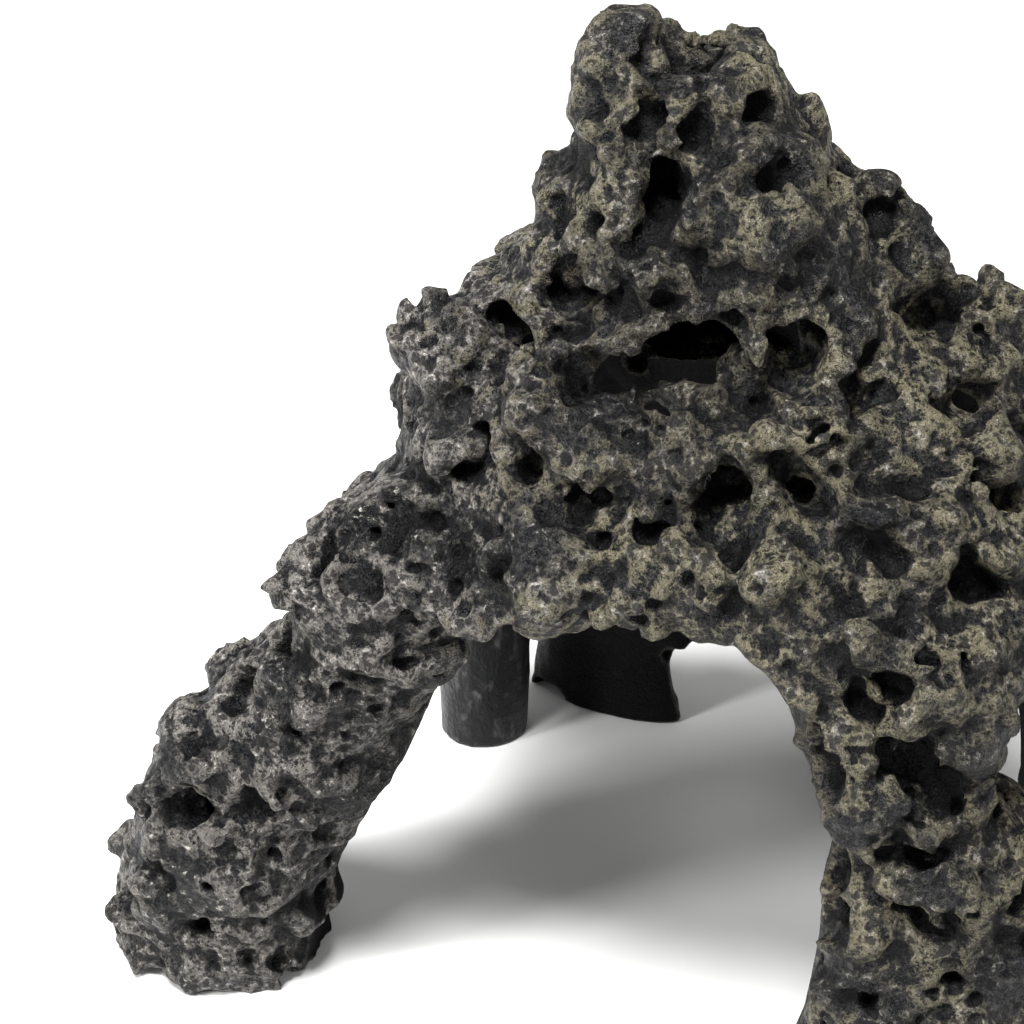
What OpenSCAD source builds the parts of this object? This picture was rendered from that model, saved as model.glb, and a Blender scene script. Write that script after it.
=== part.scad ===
// Cave ornament for a pond or a large aquarium: a hollow lava mountain standing on six legs.
// Units are millimetres. +Z is up, +X is the right side and -Y is the front with the big arch.
// The ground is Z = 0 and the origin is the middle of the footprint.

/* [Rock] */
// Thickness of the rock wall of the vault
wall = 11; // [9:0.5:13]
// Depth of the lumps on the rock
rough = 3.0; // [0:0.1:4]
// Half width of the chimney under the crater
chimney = 8; // [5:0.5:10]

/* [Joints] */
// Radius of the round spigot on top of every leg
spigot_r = 8; // [6:0.5:9]
// Thickness of the epoxy between a spigot and its socket
bond = 1.2; // [0.8:0.1:1.6]
// Radius of the pins between the vault halves and under the summit
pin_r = 3; // [2:0.25:3.5]
// Gap left at the faces that meet
gap = 0.2; // [0.1:0.05:0.4]

/* [Hidden] */
// Middle of the footprint, measured from the chimney
middle_x = -5.72;
middle_y = 19.62;
leg_seam = 150;
summit_seam = 244;
half_seam = 14;
spigot_h = 13;
slip = 0.06;
pin_reach = 9;

// ---- noise and curves ----

function rnd(i, j, k) =
  let (v = sin(i * 127.1 + j * 311.7 + k * 74.7) * 43758.5453)
  v - floor(v);
function ease(t) = t * t * (3 - 2 * t);
function mix(a, b, t) = a + (b - a) * t;
function level(i, j, k, u, v) =
  mix(mix(rnd(i, j, k), rnd(i + 1, j, k), u), mix(rnd(i, j + 1, k), rnd(i + 1, j + 1, k), u), v);
// Smooth noise from -1 to 1 that changes about once a millimetre
function lump(p) =
  let (i = floor(p.x), j = floor(p.y), k = floor(p.z))
  let (u = ease(p.x - i), v = ease(p.y - j), w = ease(p.z - k))
  2 * mix(level(i, j, k, u, v), level(i, j, k + 1, u, v), w) - 1;
function grain(p) = rough * (lump(p / 24) + 0.8 * lump(p / 13 + [7, 3, 5]));

// Lumps and pockets of the rock: centre, radius and height, where a pocket is below zero
FEATURES = [
  // Bright knob over the cave mouth
  [[9, -34, 268], 15, 9],
  // Knobs on the skylines
  [[-68, -4, 214], 18, 9],
  [[-44, 0, 250], 13, 5],
  [[51, 2, 249], 14, 8],
  [[88, 2, 213], 17, 6],
  // Brow and strut around the cave mouth
  [[-14, -38, 245], 17, 6],
  [[-30, -37, 232], 12, 4],
  [[38, -52, 222], 13, 6],
  // Sill under the cave mouth
  [[-46, -45, 203], 16, 6],
  [[-22, -53, 206], 16, 6],
  [[2, -60, 210], 16, 7],
  [[26, -61, 213], 16, 7],
  // Belly over the front arch
  [[-36, -60, 179], 20, 8],
  [[-8, -67, 182], 20, 8],
  [[20, -74, 178], 20, 7],
  // Right shoulder
  [[62, -45, 214], 18, 7],
  [[74, -62, 190], 22, 8],
  [[102, -28, 196], 24, 7],
  // Rear slope
  [[-44, 66, 214], 24, 8],
  [[24, 74, 206], 24, 8],
  [[74, 56, 196], 24, 8],
  [[0, 40, 262], 18, 7],
  [[-72, 52, 184], 24, 8],
  // Front left leg
  [[-150, -10, 92], 20, 5],
  [[-128, -32, 46], 18, 4],
  // Pockets on the front
  [[4, -40, 255], 12, -5],
  [[-20, -34, 258], 10, -5],
  [[-52, -18, 222], 13, -7],
  [[-62, -38, 193], 13, -5],
  [[-92, -32, 170], 18, -8],
  [[47, -48, 225], 13, -6],
  [[64, -20, 233], 15, -7],
  [[92, -50, 174], 15, -6],
  [[-147, -26, 70], 14, -6],
  [[-121, -34, 72], 13, -6],
  [[39, -95, 157], 10, -5],
  [[51, -100, 141], 10, -5],
  [[64, -108, 92], 11, -4],
  [[43, -104, 66], 10, -4],
  // Pockets on the back and the sides
  [[-36, 84, 192], 16, -6],
  [[56, 82, 180], 16, -6],
  [[120, 22, 172], 14, -5],
  [[-88, 30, 168], 14, -5],
  [[150, -20, 60], 16, -5],
  [[104, 112, 70], 14, -4]];

function bump(p, f) =
  let (d = (p - f[0]) / f[1], q = 1 - d * d)
  q > 0 ? f[2] * q * q : 0;
function relief(p) = grain(p) + add([for (f = FEATURES) bump(p, f)]);

function pass(a, b, c, d, t) =
  b + 0.5 * t * ((c - a) + t * ((2 * a - 5 * b + 4 * c - d) + t * (3 * b - a - 3 * c + d)));
function station(s, i) = s[max(0, min(len(s) - 1, i))];
function along(s, u) =
  let (i = max(0, min(floor(u), len(s) - 2)))
  pass(station(s, i - 1), s[i], s[i + 1], station(s, i + 2), u - i);

// Joins a list of equal rings of points into a closed solid
module skin(rings) {
  n = len(rings[0]);
  m = len(rings);
  points = concat([for (r = rings) each r], [middle(rings[0]), middle(rings[m - 1])]);
  faces = concat(
    [for (j = [0:m - 2]) for (i = [0:n - 1])
      let (a = j * n + i, b = j * n + (i + 1) % n)
      each [[a, b + n, b], [a, a + n, b + n]]],
    [for (i = [0:n - 1]) [m * n, i, (i + 1) % n]],
    [for (i = [0:n - 1]) [m * n + 1, (m - 1) * n + (i + 1) % n, (m - 1) * n + i]]);
  polyhedron(points, faces);
}
function middle(r) = [for (c = [0:2]) add([for (p = r) p[c]]) / len(r)];
function add(v, i = 0) = i < len(v) ? v[i] + add(v, i + 1) : 0;

// ---- the mountain ----

// Radii every 30 degrees, from +X through the back, at each height
BODY = [
  [122, 130, 118, 114, 116, 112, 108, 106, 98, 86, 82, 108, 124],
  [150, 122, 112, 108, 110, 106, 100, 95, 88, 80, 80, 108, 120],
  [170, 116, 106, 98, 100, 98, 88, 79, 77, 74, 75, 102, 112],
  [190, 108, 96, 86, 88, 86, 82, 76, 72, 67, 66, 88, 102],
  [210, 97, 82, 72, 74, 72, 70, 69, 64, 58, 56, 72, 86],
  [226, 80, 68, 60, 62, 58, 54, 54, 52, 50, 50, 58, 70],
  [240, 60, 54, 50, 52, 48, 43, 42, 43, 45, 47, 51, 56],
  [255, 47, 44, 42, 44, 43, 40, 38, 38, 42, 44, 46, 47],
  [268, 38, 36, 34, 36, 35, 32, 31, 31, 34, 38, 38, 38],
  [285, 29, 28, 27, 28, 28, 30, 31, 31, 28, 28, 28, 29],
  [297, 21, 20, 20, 20, 21, 24, 26, 25, 23, 21, 20, 21]];

function spoke(row, a) =
  let (i = floor(a / 30))
  pass(row[1 + (i + 11) % 12], row[1 + i % 12], row[1 + (i + 1) % 12], row[1 + (i + 2) % 12], a / 30 - i);
function bumpy(p, dir, amount) = p + dir * amount * relief(p);
function body_ring(u, n, amount) =
  let (row = along(BODY, u))
  [for (i = [0:n - 1])
    let (a = i * 360 / n, dir = [cos(a), sin(a), 0])
    bumpy([0, 5, row[0]] + spoke(row, a) * dir, dir, amount)];

// The hollow follows the outside and closes in to the chimney at the top
function hollow_ring(u, n) =
  let (row = along(BODY, u))
  let (inset = wall + 0.4 * max(0, row[0] - 205))
  [for (i = [0:n - 1])
    let (a = i * 360 / n)
    [0, 5, row[0]] + max(chimney, spoke(row, a) - inset) * [cos(a), sin(a), 0]];

module mountain(low, high, rings, n) {
  skin([for (j = [0:rings]) body_ring(low + (high - low) * j / rings, n, 1)]);
}

module hollow(low, high, rings, n) {
  skin([for (j = [0:rings]) hollow_ring(low + (high - low) * j / rings, n)]);
}

// ---- the legs ----

// Each row is height, centre x, centre y, half width, half depth, turn
FRONT_LEFT = [
  [0, -136, 5, 32, 26, 8],
  [25, -136, 4, 33, 27, 8],
  [50, -130, 2, 33, 29, 6],
  [76, -118, 0, 36, 29, 0],
  [100, -104, -3, 33, 28, 0],
  [124, -89, -8, 27, 27, 0],
  [144, -82, -12, 26, 28, 0],
  [158, -80, -14, 26, 28, 0],
  [172, -66, -14, 20, 24, 0],
  [184, -54, -14, 12, 16, 0]];
FRONT_CENTRE = [
  [0, 66, -88, 44, 24, -6],
  [44, 68, -87, 37, 23, -6],
  [65, 71, -85, 35, 23, -4],
  [96, 72, -81, 32, 22, 0],
  [112, 66, -79, 29, 21, 0],
  [122, 56, -78, 26, 21, 0],
  [132, 52, -76, 26, 21, 0],
  [150, 58, -74, 30, 26, 8],
  [166, 62, -64, 30, 26, 14],
  [184, 60, -48, 22, 18, 14]];
RIGHT = [
  [0, 136, -6, 26, 34, 0],
  [50, 133, -6, 26, 33, 0],
  [90, 127, -4, 25, 32, 0],
  [120, 118, -2, 24, 32, 0],
  [150, 100, 0, 26, 34, 0],
  [172, 84, 2, 18, 26, 0]];
REAR_LEFT = [
  [0, -58, 124, 15.5, 15, 0],
  [60, -57, 122, 15.5, 15, 0],
  [100, -55, 112, 18, 17, 0],
  [150, -50, 88, 21, 20, 0],
  [168, -44, 74, 18, 16, 0]];
REAR_FIN = [
  [0, -14, 139, 29, 8, -26],
  [28, -15, 137, 25, 9, -24],
  [44, -8, 132, 32, 10, -18],
  [80, -2, 124, 35, 12, -10],
  [150, 10, 100, 34, 17, 0],
  [172, 8, 84, 30, 14, 0]];
REAR_RIGHT = [
  [0, 88, 98, 22, 22, 40],
  [60, 86, 94, 20, 22, 40],
  [110, 80, 86, 20, 22, 40],
  [152, 74, 74, 25, 24, 40],
  [172, 62, 62, 20, 18, 40]];

function limb_ring(row, n, amount, grow) =
  [for (i = [0:n - 1])
    let (a = i * 360 / n, x = (row[3] + grow) * cos(a), y = (row[4] + grow) * sin(a), t = row[5])
    let (dir = [cos(a + t), sin(a + t), 0])
    let (p = [row[1] + x * cos(t) - y * sin(t), row[2] + x * sin(t) + y * cos(t), row[0]])
    bumpy(p, dir, amount)];

module limb(rows, rings, n, amount, grow = 0) {
  last = len(rows) - 1;
  skin([for (j = [0:rings]) limb_ring(along(rows, last * j / rings), n, amount, grow)]);
}

// A lump of rock with three half sizes
module boulder(at, size, n = 12, amount = 1, turn = [0, 0, 0]) {
  translate(at) rotate(turn) hull()
    skin([for (j = [1:n / 2 - 1])
      let (b = j * 360 / n - 90)
      [for (i = [0:n - 1])
        let (a = i * 360 / n, d = [cos(a) * cos(b), sin(a) * cos(b), sin(b)])
        let (p = [size.x * d.x, size.y * d.y, size.z * d.z])
        p + d * amount * grain(p + at)]]);
}

module legs() {
  limb(FRONT_LEFT, 15, 22, 1);
  limb(FRONT_CENTRE, 16, 22, 1);
  limb(RIGHT, 13, 22, 1);
  limb(REAR_RIGHT, 12, 20, 1);
  limb(REAR_FIN, 12, 24, 0.6);
  limb(REAR_LEFT, 9, 20, 0.2);
}

// Horns of the crater and knobs too sharp for the relief
module lumps() {
  boulder([-19, 0, 293], [12, 14, 14], 12, 0.5);
  boulder([11, 2, 289], [10, 13, 9], 12, 0.5);
  boulder([49, 1, 250], [9, 11, 9], 12, 0.5);
  boulder([-65, -3, 214], [12, 14, 11], 12, 0.5);
  boulder([86, 2, 214], [11, 14, 11], 12, 0.5);
}

module arches() {
  // Front arch between the front left leg and the front centre leg
  boulder([-26, -62, 112], [42, 62, 54], 20, 0.5);
  boulder([2, -77, 106], [32, 52, 61], 18, 0.3, [0, 0, 7]);
  boulder([-44, -74, 112], [30, 44, 46], 18, 0.3);
  // Left arch behind the front left leg
  boulder([-86, 50, 112], [60, 34, 52], 18, 0.4, [0, 0, -33]);
  // Right window beside the front centre leg
  boulder([90, -58, 134], [12, 50, 23], 16, 0.4, [0, 0, 24]);
  // Right arch between the right leg and the rear right leg
  boulder([110, 48, 112], [60, 18, 50], 18, 0.5, [0, 0, 28]);
  // Rear arch between the fin and the rear right leg
  boulder([50, 104, 106], [12, 60, 52], 18, 0.4, [0, 0, -10]);
}

// Holes that run right through the wall
module windows() {
  boulder([-10, -24, 267], [6, 20, 10], 12, 0.4);
  boulder([-36, -18, 238], [7, 17, 9], 12, 0.4, [0, 0, -50]);
  // Cave mouth, with its left and right pockets
  boulder([0, -40, 226], [17, 24, 10], 12, 0.6);
  boulder([-18, -38, 221], [10, 18, 8], 12, 0.6);
  boulder([21, -42, 229], [8, 24, 9], 12, 0.4);
  // Two eyes under the sill
  boulder([5, -52, 199], [6, 20, 7], 12, 0.3);
  boulder([28, -56, 200], [6, 22, 7], 12, 0.3);
  // Holes at the back and the sides
  boulder([-22, 62, 222], [8, 24, 10], 12, 0.5);
  boulder([40, 60, 226], [9, 26, 8], 12, 0.5, [0, 0, -30]);
  boulder([92, 26, 200], [24, 9, 9], 12, 0.5, [0, 0, 20]);
  boulder([-78, 26, 190], [22, 8, 9], 12, 0.5, [0, 0, -10]);
}

// The crater pit, lower at the front right
module crater() {
  boulder([-2, 4, 298], [12, 12, 30], 16, 0.3);
  boulder([6, -8, 303], [10, 12, 9], 12, 0.3);
}

// ---- the joints ----

// Where the spigots stand, on the level seam on top of the legs
FRONT_LEFT_AT = [-80, -15];
FRONT_CENTRE_AT = [60, -70];
RIGHT_AT = [96, -6];
REAR_RIGHT_AT = [71, 71];
REAR_FIN_AT = [9, 94];
REAR_LEFT_AT = [-48, 84];
SPIGOTS = [FRONT_LEFT_AT, FRONT_CENTRE_AT, RIGHT_AT, REAR_RIGHT_AT, REAR_FIN_AT, REAR_LEFT_AT];

// Where the pins cross the upright seam between the vault halves
LOWER_LEFT_PIN = [-72, half_seam, 166];
LOWER_RIGHT_PIN = [104, half_seam, 166];
UPPER_LEFT_PIN = [-43, half_seam, 226];
UPPER_RIGHT_PIN = [68, half_seam, 222];
VAULT_PINS = [LOWER_LEFT_PIN, LOWER_RIGHT_PIN, UPPER_LEFT_PIN, UPPER_RIGHT_PIN];

// Where the pins cross the level seam under the summit
LEFT_PIN = [-29, -5, summit_seam];
RIGHT_PIN = [30, -5, summit_seam];
REAR_PIN = [0, 36, summit_seam];
SUMMIT_PINS = [LEFT_PIN, RIGHT_PIN, REAR_PIN];

module post(at, z, r, h) {
  translate([at.x, at.y, z]) cylinder(r = r, h = h, $fn = 48);
}
module pin_hole(at, turn, r, reach) {
  translate(at) rotate(turn) cylinder(r = r, h = 2 * reach, center = true, $fn = 32);
}

module bosses() {
  for (p = VAULT_PINS) pin_hole(p, [90, 0, 0], pin_r + 5.5, pin_reach + 5);
}
module joint_holes() {
  for (p = VAULT_PINS) pin_hole(p, [90, 0, 0], pin_r + 0.15, pin_reach + 0.5);
  for (p = SUMMIT_PINS) pin_hole(p, [0, 0, 0], pin_r + 0.15, pin_reach + 0.5);
  for (p = SPIGOTS) post(p, leg_seam - 1, spigot_r + bond + slip + 0.04, spigot_h + bond + 1 + 2 * slip);
}

// ---- the castings ----

module whole_vault() {
  difference() {
    union() {
      difference() {
        union() {
          mountain(0.95, 10, 34, 60);
          lumps();
        }
        hollow(0, 9, 12, 28);
      }
      legs();
      bosses();
    }
    arches();
    windows();
    crater();
    joint_holes();
  }
}

module place() {
  translate([-middle_x, -middle_y, 0]) children();
}
module region(low, high) {
  translate(low) cube(high - low);
}

// A leg up to the seam, less the arches and whatever follows its own limb
module leg(at) {
  difference() {
    intersection() {
      children(0);
      region([-300, -300, 0], [300, 300, leg_seam - gap]);
    }
    arches();
    if ($children > 1) children(1);
  }
  post(at, leg_seam - gap - 1, spigot_r, spigot_h + 1);
}
// The hollow that opens under a leg
module leg_hollow(rows) {
  intersection() {
    limb(rows, 9, 16, 0, -12);
    region([-300, -300, -1], [300, 300, 104]);
  }
}

module summit_casting() {
  color("dimgray") place() intersection() {
    whole_vault();
    region([-200, -200, summit_seam + gap], [200, 200, 400]);
  }
}
module front_vault_casting() {
  color("gray") place() intersection() {
    whole_vault();
    region([-200, -200, leg_seam], [200, half_seam - gap / 2, summit_seam]);
  }
}
module rear_vault_casting() {
  color("darkgray") place() intersection() {
    whole_vault();
    region([-200, half_seam + gap / 2, leg_seam], [200, 200, summit_seam]);
  }
}
module front_left_leg() {
  color("slategray") place() leg(FRONT_LEFT_AT) {
    limb(FRONT_LEFT, 15, 22, 1);
    leg_hollow(FRONT_LEFT);
  }
}
module front_centre_leg() {
  color("slategray") place() leg(FRONT_CENTRE_AT) {
    limb(FRONT_CENTRE, 16, 22, 1);
    leg_hollow(FRONT_CENTRE);
  }
}
module right_leg() {
  color("slategray") place() leg(RIGHT_AT) {
    limb(RIGHT, 13, 22, 1);
    leg_hollow(RIGHT);
  }
}
module rear_right_leg() {
  color("slategray") place() leg(REAR_RIGHT_AT) limb(REAR_RIGHT, 12, 20, 1);
}
module rear_fin_leg() {
  color("slategray") place() leg(REAR_FIN_AT) {
    limb(REAR_FIN, 12, 24, 0.6);
    limb(REAR_LEFT, 9, 20, 0.2, 1);
  }
}
module rear_left_leg() {
  color("slategray") place() leg(REAR_LEFT_AT) limb(REAR_LEFT, 9, 20, 0.2);
}

// A cup of set epoxy around a spigot
module bond_cup(at) {
  color("tan") place() difference() {
    post(at, leg_seam + slip, spigot_r + bond, spigot_h + bond);
    post(at, leg_seam - 1, spigot_r + slip, spigot_h + 1 + slip);
  }
}
module front_left_leg_bond() {
  bond_cup(FRONT_LEFT_AT);
}
module front_centre_leg_bond() {
  bond_cup(FRONT_CENTRE_AT);
}
module right_leg_bond() {
  bond_cup(RIGHT_AT);
}
module rear_right_leg_bond() {
  bond_cup(REAR_RIGHT_AT);
}
module rear_fin_leg_bond() {
  bond_cup(REAR_FIN_AT);
}
module rear_left_leg_bond() {
  bond_cup(REAR_LEFT_AT);
}

module pin(at, turn) {
  color("ivory") place() pin_hole(at, turn, pin_r, pin_reach);
}
module vault_pin_lower_left() {
  pin(LOWER_LEFT_PIN, [90, 0, 0]);
}
module vault_pin_lower_right() {
  pin(LOWER_RIGHT_PIN, [90, 0, 0]);
}
module vault_pin_upper_left() {
  pin(UPPER_LEFT_PIN, [90, 0, 0]);
}
module vault_pin_upper_right() {
  pin(UPPER_RIGHT_PIN, [90, 0, 0]);
}
module summit_pin_left() {
  pin(LEFT_PIN, [0, 0, 0]);
}
module summit_pin_right() {
  pin(RIGHT_PIN, [0, 0, 0]);
}
module summit_pin_rear() {
  pin(REAR_PIN, [0, 0, 0]);
}

summit_casting();
front_vault_casting();
rear_vault_casting();
front_left_leg();
front_centre_leg();
right_leg();
rear_right_leg();
rear_fin_leg();
rear_left_leg();
front_left_leg_bond();
front_centre_leg_bond();
right_leg_bond();
rear_right_leg_bond();
rear_fin_leg_bond();
rear_left_leg_bond();
vault_pin_lower_left();
vault_pin_lower_right();
vault_pin_upper_left();
vault_pin_upper_right();
summit_pin_left();
summit_pin_right();
summit_pin_rear();
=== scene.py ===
# %% [markdown]
# # A cave ornament cast in resin
# The real thing is a hollow lava mountain about 33 cm wide that fish swim through. It is cast in
# resin in three parts, it stands on six legs, and it is painted by hand: a black wash first, and
# then khaki and grey brushed nearly dry over the lumps. The frame has the sizes, the hollows and
# the joints. This script carves the crust of the rock on top of it and paints it.

# %% Load the frame
import bpy
import numpy as np
import openvdb
from math import degrees, pi, radians
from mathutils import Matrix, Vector


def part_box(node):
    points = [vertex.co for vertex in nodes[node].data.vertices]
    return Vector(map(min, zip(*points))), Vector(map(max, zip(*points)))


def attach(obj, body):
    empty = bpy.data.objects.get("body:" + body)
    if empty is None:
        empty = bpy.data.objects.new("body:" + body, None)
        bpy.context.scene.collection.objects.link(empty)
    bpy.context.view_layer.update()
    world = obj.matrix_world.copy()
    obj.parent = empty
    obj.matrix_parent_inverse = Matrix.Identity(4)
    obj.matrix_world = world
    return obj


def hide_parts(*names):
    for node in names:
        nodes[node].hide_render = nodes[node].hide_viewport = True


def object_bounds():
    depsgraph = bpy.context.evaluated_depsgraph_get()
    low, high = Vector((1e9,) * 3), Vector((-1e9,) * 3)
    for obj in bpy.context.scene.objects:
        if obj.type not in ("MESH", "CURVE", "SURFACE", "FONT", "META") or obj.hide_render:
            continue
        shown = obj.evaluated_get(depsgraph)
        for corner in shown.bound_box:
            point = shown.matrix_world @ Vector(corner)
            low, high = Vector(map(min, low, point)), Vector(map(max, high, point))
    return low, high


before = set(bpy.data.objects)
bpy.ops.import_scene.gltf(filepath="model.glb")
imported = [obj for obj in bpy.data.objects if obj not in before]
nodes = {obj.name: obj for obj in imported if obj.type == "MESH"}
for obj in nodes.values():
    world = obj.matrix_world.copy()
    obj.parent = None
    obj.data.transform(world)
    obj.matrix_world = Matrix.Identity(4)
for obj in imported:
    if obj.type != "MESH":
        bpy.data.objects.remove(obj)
cad_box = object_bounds()
scene = bpy.context.scene
mm = 0.001
print("nodes:", len(nodes), "box:", [[round(v, 4) for v in corner] for corner in cad_box])

# %% [markdown]
# ## Camera
# The ornament is looked down on by 30 degrees from straight in front, and a little to the left
# of its middle, so the right leg and the front foot run past the view.

# %% Camera
look_at = Vector((-0.04228, -0.01962, 0.159))
distance = 0.753
height_angle = radians(30)
camera_data = bpy.data.cameras.new("front_camera")
camera_data.sensor_fit = "HORIZONTAL"
camera_data.sensor_width = 36
camera_data.lens = 92.67
camera = bpy.data.objects.new("front_camera", camera_data)
away = Vector((0, -np.cos(height_angle), np.sin(height_angle)))
camera.location = look_at + distance * away
camera.rotation_euler = (-away).to_track_quat("-Z", "Y").to_euler()
scene.collection.objects.link(camera)
scene.camera = camera
print("field of view:", round(degrees(camera_data.angle), 2), "degrees")

# %% [markdown]
# ## Floor
# A pale, matt floor that runs far past the ornament on every side.

# %% Floor
def make_mesh(name, points, faces):
    data = bpy.data.meshes.new(name)
    data.from_pydata(points, [], faces)
    thing = bpy.data.objects.new(name, data)
    scene.collection.objects.link(thing)
    return thing


floor = make_mesh("floor", [(-6, -6, 0), (6, -6, 0), (6, 6, 0), (-6, 6, 0)], [(0, 1, 2, 3)])
floor_paint = bpy.data.materials.new("floor_paint")
floor_paint.use_nodes = True
floor_shader = floor_paint.node_tree.nodes["Principled BSDF"]
floor_shader.inputs["Base Color"].default_value = (0.9, 0.9, 0.89, 1)
floor_shader.inputs["Roughness"].default_value = 0.8
floor.data.materials.append(floor_paint)
print("floor:", [round(v) for v in floor.dimensions], "metres")

# %% [markdown]
# ## Lights
# Soft boxes as in a small studio. The main one hangs above and a little to the left, so that the
# lumps are lit from the top and every hole stays dark. A second one lights the left flank, and a
# weak one from the front right opens the shadows.


# %% Lights
def soft_box(name, place, size, power, target=(0, 0, 0.15)):
    data = bpy.data.lights.new(name, "AREA")
    data.shape = "SQUARE"
    data.size = size
    data.energy = power
    lamp = bpy.data.objects.new(name, data)
    lamp.location = place
    aim = Vector(target) - Vector(place)
    lamp.rotation_euler = aim.to_track_quat("-Z", "Y").to_euler()
    scene.collection.objects.link(lamp)


soft_box("top_box", (-0.25, -0.45, 1.4), 0.45, 48)
soft_box("left_box", (-1.2, -0.6, 0.7), 0.25, 14)
soft_box("right_box", (1.0, -1.2, 0.9), 0.4, 4)
world = bpy.data.worlds.new("studio")
world.use_nodes = True
world.node_tree.nodes["Background"].inputs["Color"].default_value = (1, 1, 1, 1)
world.node_tree.nodes["Background"].inputs["Strength"].default_value = 0.42
scene.world = world
scene.view_settings.view_transform = "Standard"

# %% [markdown]
# ## From castings to one block of rock
# The crust has to run over the seams without a step, as it does where a modeller fills them. So
# the castings and legs are first melted into one block, carved as one, and cut apart again at
# the end. A distance field suits that: a box of small cells, each of which knows how far it is
# from the surface, and is below zero inside. Melting is then only a minimum, and digging a pit
# is a maximum.

# %% Cells
cell = 1.0 * mm
reach = 6
# The box of cells reaches at least 12 mm past the frame on every side
start = np.array([-182, -149, -12])
count = np.array([364, 298, 334])


def mesh_arrays(thing):
    data = thing.data
    data.calc_loop_triangles()
    points = np.empty(len(data.vertices) * 3, np.float32)
    data.vertices.foreach_get("co", points)
    corners = np.empty(len(data.loop_triangles) * 3, np.int32)
    data.loop_triangles.foreach_get("vertices", corners)
    return points.reshape(-1, 3), corners.reshape(-1, 3).astype(np.uint32)


def field_of(points, triangles=None, quads=None):
    grid = openvdb.FloatGrid.createLevelSetFromPolygons(
        points=points,
        triangles=triangles,
        quads=quads,
        transform=openvdb.createLinearTransform(cell),
        exBandWidth=float(reach),
        inBandWidth=float(reach),
    )
    field = np.empty(tuple(count), np.float32)
    grid.copyToArray(field, ijk=tuple(int(v) for v in start))
    return field


def surface_of(field):
    grid = openvdb.FloatGrid(reach * cell)
    grid.transform = openvdb.createLinearTransform(cell)
    grid.copyFromArray(field, ijk=tuple(int(v) for v in start), tolerance=0.0)
    points, triangles, quads = grid.convertToPolygons(isovalue=0.0, adaptivity=0.0)
    return points, triangles, quads


def without_crumbs(points, quads):
    # Keeps the biggest part. Each point takes the lowest number next to it, until every loose part
    # has one number
    label = np.arange(len(points))
    first = quads.ravel()
    second = np.roll(quads, -1, axis=1).ravel()
    while True:
        lowest = label.copy()
        np.minimum.at(lowest, first, label[second])
        np.minimum.at(lowest, second, label[first])
        lowest = lowest[lowest]
        if np.array_equal(lowest, label):
            break
        label = lowest
    parts, sizes = np.unique(label, return_counts=True)
    kept = label == parts[sizes.argmax()]
    number = np.cumsum(kept) - 1
    return points[kept], number[quads[kept[quads[:, 0]]]]


print("cells:", int(np.prod(count)) // 1000000, "million of", round(cell / mm, 1), "mm")

# %% [markdown]
# ## Melting the seams shut
# The castings stand a fifth of a millimetre apart, which is less than a cell. A block that is swollen
# by a hair loses those gaps, and its skin is then measured anew. Epoxy and rods are melted in
# too, so that nothing is hollow at a joint. Only the plain rear column stays out of the block.

# %% Melt the castings together
castings = ["summit_casting", "front_vault_casting", "rear_vault_casting"]
rock_legs = ["front_left_leg", "front_centre_leg", "right_leg", "rear_right_leg", "rear_fin_leg"]
column = "rear_left_leg"
fillers = [name for name in nodes if name.endswith("_bond") or "_pin_" in name]


def melted(names):
    block = np.full(tuple(count), reach * cell, np.float32)
    for name in names:
        points, triangles = mesh_arrays(nodes[name])
        block = np.minimum(block, field_of(points, triangles))
    return block


# The gaps at the seams close when the block swells by 0.3 mm and is measured again
seam_fill = 0.3 * mm
swollen = melted(castings + rock_legs + fillers) - seam_fill
points, triangles, quads = surface_of(swollen)
rock = field_of(points, triangles, quads) + seam_fill
column_field = melted([column])
print("block:", len(points), "points,", round(float((rock < 0).sum()) * cell**3 * 1e6), "cc")

# %% [markdown]
# ## Which side is the outside
# The crust is only on the outside. The mould's core leaves the chamber and the inner sides of the
# legs plain. Each cell near the surface gets a weight from the way the rock faces there: 1 where
# it faces away from the middle of the chamber, and 0 where it faces towards it.

# %% Outside weight
core = np.array([-15, 20, 100], np.float32) * mm


def cells_near(field):
    near = np.flatnonzero(np.abs(field.ravel()) < (reach - 0.5) * cell)
    index = np.array(np.unravel_index(near, tuple(count)), np.int32).T
    return near, index, (index + start).astype(np.float32) * cell


near, index, place = cells_near(rock)


def smooth_step(low, high, value):
    t = np.clip((value - low) / (high - low), 0, 1)
    return t * t * (3 - 2 * t)


def facing(field, index, step=3):
    ahead = np.minimum(index + step, count - 1)
    behind = np.maximum(index - step, 0)
    slope = np.empty(index.shape, np.float32)
    for axis in range(3):
        a = index.copy()
        b = index.copy()
        a[:, axis] = ahead[:, axis]
        b[:, axis] = behind[:, axis]
        slope[:, axis] = field[a[:, 0], a[:, 1], a[:, 2]] - field[b[:, 0], b[:, 1], b[:, 2]]
    length = np.maximum(np.linalg.norm(slope, axis=1, keepdims=True), 1e-6)
    return slope / length


def outwardness(place, normals):
    away = (place - core) * np.array([1, 1, 0.6], np.float32)
    away /= np.linalg.norm(away, axis=1, keepdims=True)
    return smooth_step(-0.65, -0.20, (normals * away).sum(1))


outside = outwardness(place, facing(rock, index))
print("cells near the surface:", len(near), "outside:", round(float((outside > 0.5).mean()), 2))

# %% [markdown]
# ## Noise for a craggy crust
# Real lava has sharp ridges between round hollows. Noise gives that when it is folded: the
# absolute value of smooth noise has a crease wherever the noise crosses zero, so its negative is
# a net of sharp ridges, and it is a heap of round lumps the other way up.


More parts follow.
